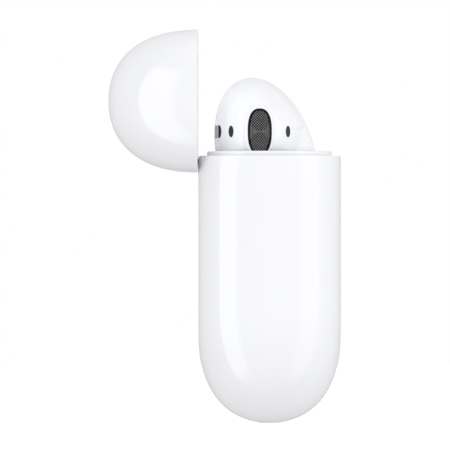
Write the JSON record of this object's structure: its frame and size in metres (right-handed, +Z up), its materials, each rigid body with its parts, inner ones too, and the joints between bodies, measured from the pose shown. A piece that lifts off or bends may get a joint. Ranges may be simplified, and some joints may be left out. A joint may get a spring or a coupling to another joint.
{
  "type": "wireless earbuds case",
  "caption": "Pocket charging case with a rounded hinged lid, holding a pair of wireless earbuds in fitted wells and recharging them from a bottom socket.",
  "frame": {"origin": "bottom centre of the case, at the mouth of the charging port", "axes": "+Z up out of the wells, -Y towards the front of the case, +Y towards the hinge, X across the two earbuds"},
  "size_m": [0.0444, 0.0348, 0.0589],
  "materials": {
    "case_white": "polished",
    "tray_white": "polished",
    "bud_white": "polished",
    "hinge_steel": "brushed",
    "spring_steel": "bright",
    "magnet_metal": "nickel plated",
    "seal_rubber": "matte",
    "switch_black": "matte",
    "port_steel": "satin",
    "contact_tongue": "matte",
    "contact_gold": "gold plated",
    "board_green": "solder mask",
    "chip_black": "matte",
    "flex_amber": "satin",
    "cell_foil": "satin foil",
    "lead_nickel": "nickel",
    "clear_lens": "clear",
    "led_amber": "clear",
    "sensor_black": "polished",
    "mesh_grey": "woven mesh",
    "mesh_dark": "woven mesh",
    "rim_black": "polished",
    "ring_chrome": "polished"
  },
  "bodies": {
    "case": {"body_shell": "case_white", "inner_tray": "tray_white", "tray_magnets": "magnet_metal", "hinge_bracket": "hinge_steel", "hinge_screws": "hinge_steel", "hinge_pin": "hinge_steel", "hinge_spring": "spring_steel", "button_seal": "seal_rubber", "button_switch": "switch_black", "port_trim": "port_steel", "port_shell": "port_steel", "port_contacts": "contact_tongue", "main_board": "board_green", "board_chips": "chip_black", "battery_cell": "cell_foil", "battery_leads": "lead_nickel", "light_pipe": "clear_lens", "status_led": "led_amber", "led_flex": "flex_amber", "left_contact_block": "switch_black", "right_contact_block": "switch_black"},
    "lid": {"lid_shell": "case_white", "lid_liner": "tray_white", "lid_magnets": "magnet_metal", "hinge_leaf": "hinge_steel"},
    "button": {"button_cap": "case_white"},
    "left_earbud": {"left_front_shell": "bud_white", "left_rear_shell": "bud_white", "left_sensor_windows": "sensor_black", "left_vent_mesh": "mesh_grey", "left_grille_rim": "rim_black", "left_speaker_grille": "mesh_dark", "left_speaker_driver": "switch_black", "left_head_board": "board_green", "left_head_magnet": "magnet_metal", "left_stem_battery": "cell_foil", "left_stem_ring": "ring_chrome", "left_mic_grille": "mesh_dark"},
    "right_earbud": {"right_front_shell": "bud_white", "right_rear_shell": "bud_white", "right_sensor_windows": "sensor_black", "right_vent_mesh": "mesh_grey", "right_grille_rim": "rim_black", "right_speaker_grille": "mesh_dark", "right_speaker_driver": "switch_black", "right_head_board": "board_green", "right_head_magnet": "magnet_metal", "right_stem_battery": "cell_foil", "right_stem_ring": "ring_chrome", "right_mic_grille": "mesh_dark"},
    "left_pins": {"left_contact_pins": "contact_gold"},
    "right_pins": {"right_contact_pins": "contact_gold"}
  },
  "joints": [
    {"name": "lid_hinge", "type": "hinge", "parent": "case", "child": "lid", "pos_m": [0, 0.00945, 0.0388], "axis": [-1, 0, 0], "range_deg": [-90, 0]},
    {"name": "button_press", "type": "slide", "parent": "case", "child": "button", "axis": [0, -1, 0], "range_m": [0, 0.0004], "stiffness_N_per_m": 4000},
    {"name": "left_earbud_lift", "type": "slide", "parent": "case", "child": "left_earbud", "axis": [0, 0, 1], "range_m": [0, 0.034]},
    {"name": "right_earbud_lift", "type": "slide", "parent": "case", "child": "right_earbud", "axis": [0, 0, 1], "range_m": [0, 0.034]},
    {"name": "left_contact_press", "type": "slide", "parent": "case", "child": "left_pins", "axis": [0, 0, -1], "range_m": [0, 0.0003], "stiffness_N_per_m": 1500},
    {"name": "right_contact_press", "type": "slide", "parent": "case", "child": "right_pins", "axis": [0, 0, -1], "range_m": [0, 0.0003], "stiffness_N_per_m": 1500}
  ]
}
